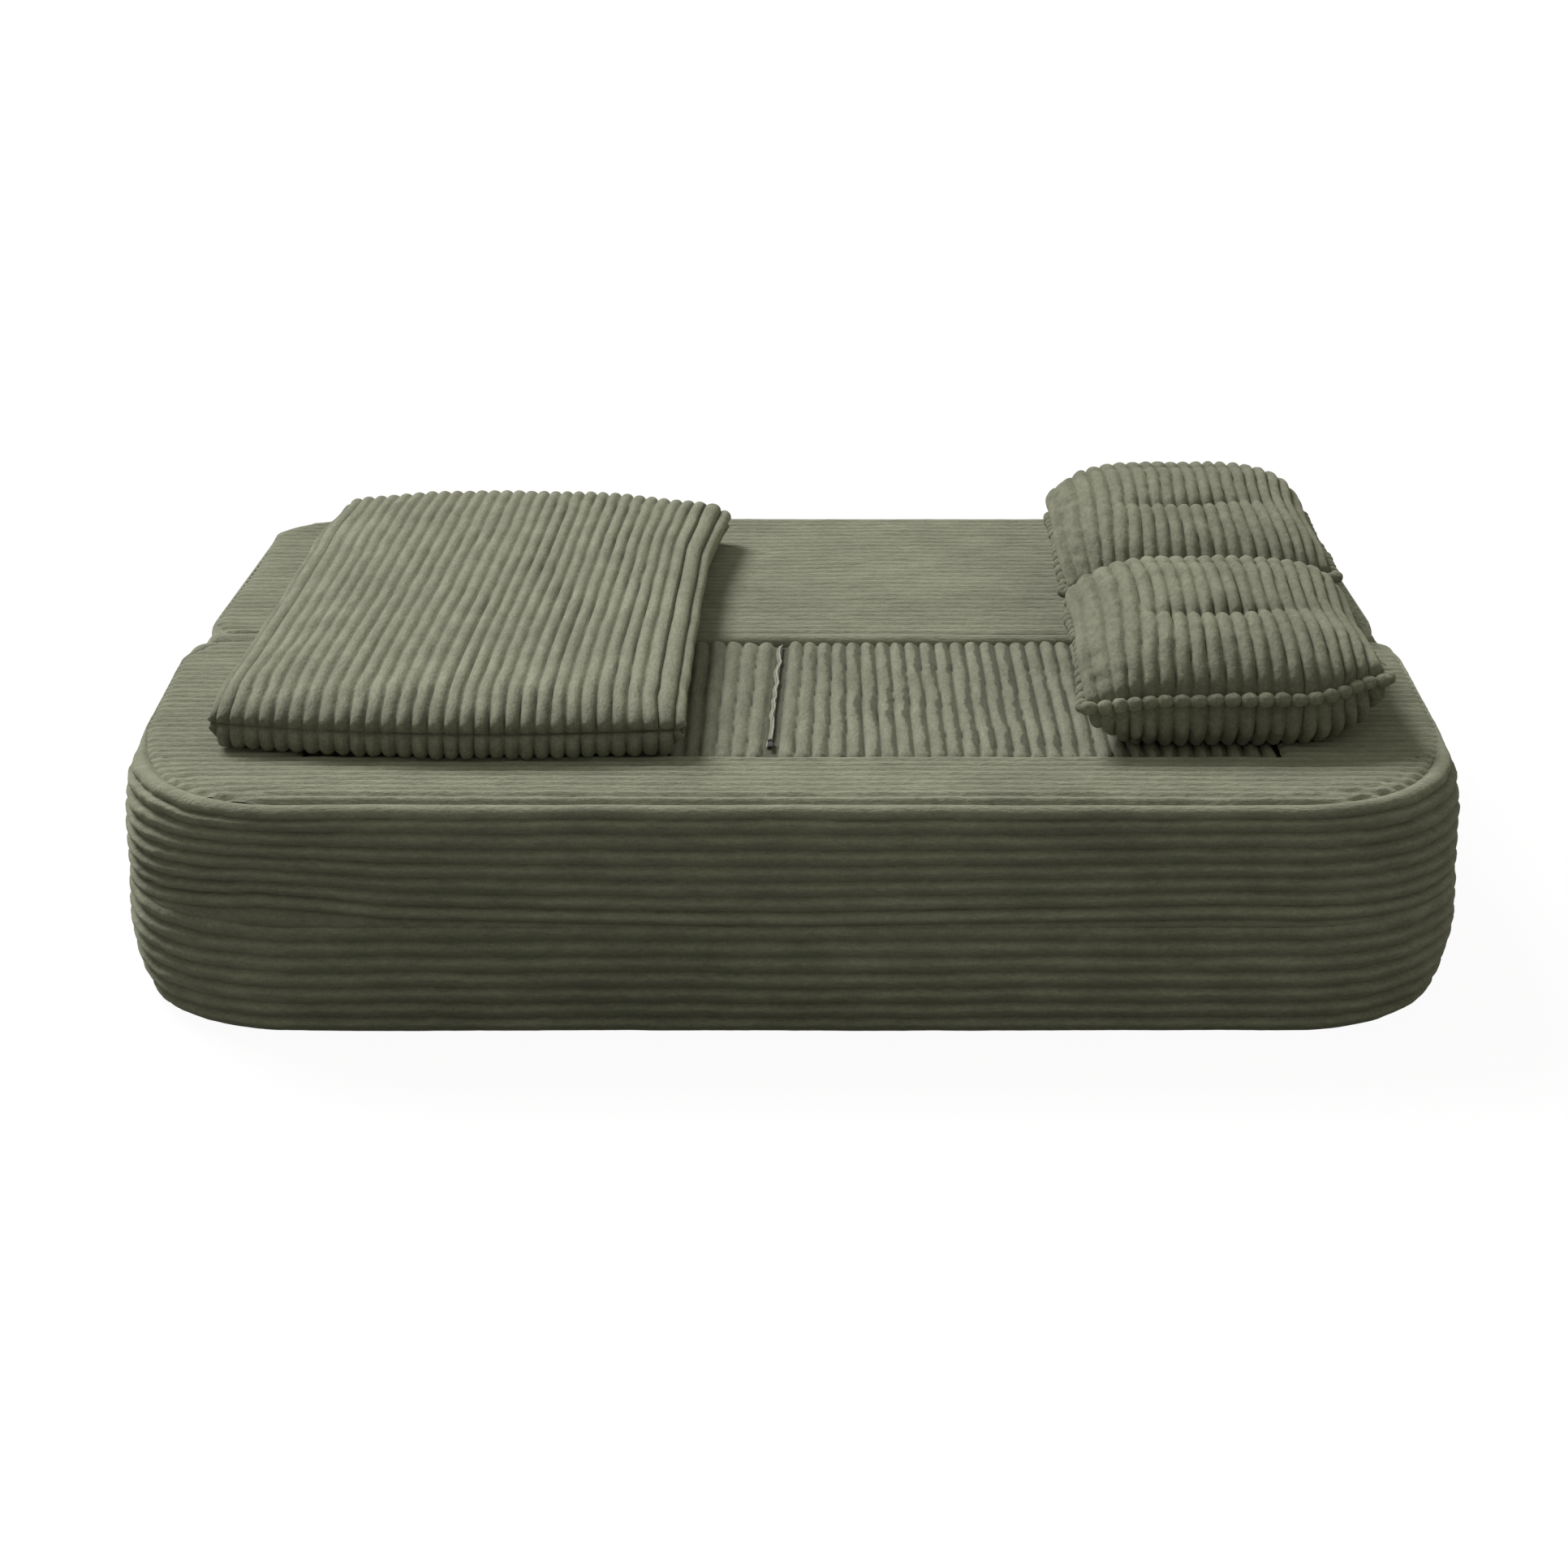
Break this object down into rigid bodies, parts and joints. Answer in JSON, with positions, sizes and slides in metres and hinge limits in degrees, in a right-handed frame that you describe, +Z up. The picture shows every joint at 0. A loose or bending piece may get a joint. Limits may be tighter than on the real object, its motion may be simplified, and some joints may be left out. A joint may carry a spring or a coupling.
{
  "type": "floor sofa bed",
  "caption": "Low two-layer floor sofa bed in wide ribbed cloth, laid flat, with a fold-back U frame, loose insert cushion, mat and two square pillows.",
  "frame": {"origin": "on the floor under the middle of the bed", "axes": "+X to the right seen from the front, +Y to the back, +Z up"},
  "size_m": [2, 1.58, 0.5525],
  "materials": {
    "ribbed_cloth": "wide-rib plush velvet",
    "lining_cloth": "plain woven lining",
    "tape": "woven tape",
    "foam": "open-cell foam",
    "fibre_fill": "polyester fibre",
    "zip_metal": "dark satin"
  },
  "bodies": {
    "base": {"base_bottom_sheet": "lining_cloth", "base_foam_core": "foam", "base_side_band": "ribbed_cloth", "base_top_lining": "lining_cloth", "rear_foam_core": "foam", "rear_side_band": "ribbed_cloth", "rear_top_panel": "ribbed_cloth", "rear_edge_welt": "ribbed_cloth", "rear_seam_welt": "ribbed_cloth", "rear_hinge_tape": "tape", "insert_top_panel": "ribbed_cloth", "insert_boxing": "ribbed_cloth", "insert_bottom_sheet": "lining_cloth", "insert_foam": "foam", "zip_tape_left": "tape", "zip_tape_right": "tape", "zip_teeth": "zip_metal", "zip_stops": "zip_metal"},
    "fold_frame": {"frame_front_foam": "foam", "frame_left_arm_foam": "foam", "frame_right_arm_foam": "foam", "frame_bottom_sheet": "lining_cloth", "frame_side_band": "ribbed_cloth", "frame_inner_wall": "lining_cloth", "frame_front_panel": "ribbed_cloth", "frame_left_arm_panel": "ribbed_cloth", "frame_right_arm_panel": "ribbed_cloth", "frame_edge_welt": "ribbed_cloth", "frame_hem_welt": "ribbed_cloth", "frame_hinge_tape": "tape"},
    "zip_slider": {"zip_slider": "zip_metal"},
    "zip_pull": {"zip_pull": "zip_metal"},
    "mat": {"mat_top_cover": "ribbed_cloth", "mat_bottom_cover": "ribbed_cloth", "mat_foam": "foam", "mat_zip_strip": "tape"},
    "front_pillow": {"pillow_front_top_cover": "ribbed_cloth", "pillow_front_bottom_cover": "ribbed_cloth", "pillow_front_filling": "fibre_fill", "pillow_front_beads": "ribbed_cloth"},
    "rear_pillow": {"pillow_rear_top_cover": "ribbed_cloth", "pillow_rear_bottom_cover": "ribbed_cloth", "pillow_rear_filling": "fibre_fill", "pillow_rear_beads": "ribbed_cloth"}
  },
  "joints": [
    {"name": "section_fold", "type": "hinge", "parent": "base", "child": "fold_frame", "pos_m": [0, 0.015, 0.3705], "axis": [-1, 0, 0], "range_deg": [0, 180]},
    {"name": "zip_slide", "type": "slide", "parent": "base", "child": "zip_slider", "axis": [0.0344, 0.9994, 0], "range_m": [0, 0.475]},
    {"name": "pull_swing", "type": "hinge", "parent": "zip_slider", "child": "zip_pull", "pos_m": [-0.03256, -0.49647, 0.3672], "axis": [-0.9994, 0.0344, 0], "range_deg": [0, 150]},
    {"name": "mat_carry", "type": "hinge", "parent": "fold_frame", "child": "mat", "pos_m": [0, -0.735, 0.5555], "axis": [1, 0, 0], "range_deg": [0, 180]},
    {"name": "front_pillow_carry", "type": "hinge", "parent": "fold_frame", "child": "front_pillow", "pos_m": [0, -0.735, 0.5555], "axis": [1, 0, 0], "range_deg": [0, 180]},
    {"name": "rear_pillow_carry", "type": "hinge", "parent": "fold_frame", "child": "rear_pillow", "pos_m": [0, -0.735, 0.5555], "axis": [1, 0, 0], "range_deg": [0, 180]}
  ],
  "couplings": [
    {"joint": "mat_carry", "follows": "section_fold", "ratio": 1},
    {"joint": "front_pillow_carry", "follows": "section_fold", "ratio": 1},
    {"joint": "rear_pillow_carry", "follows": "section_fold", "ratio": 1}
  ]
}
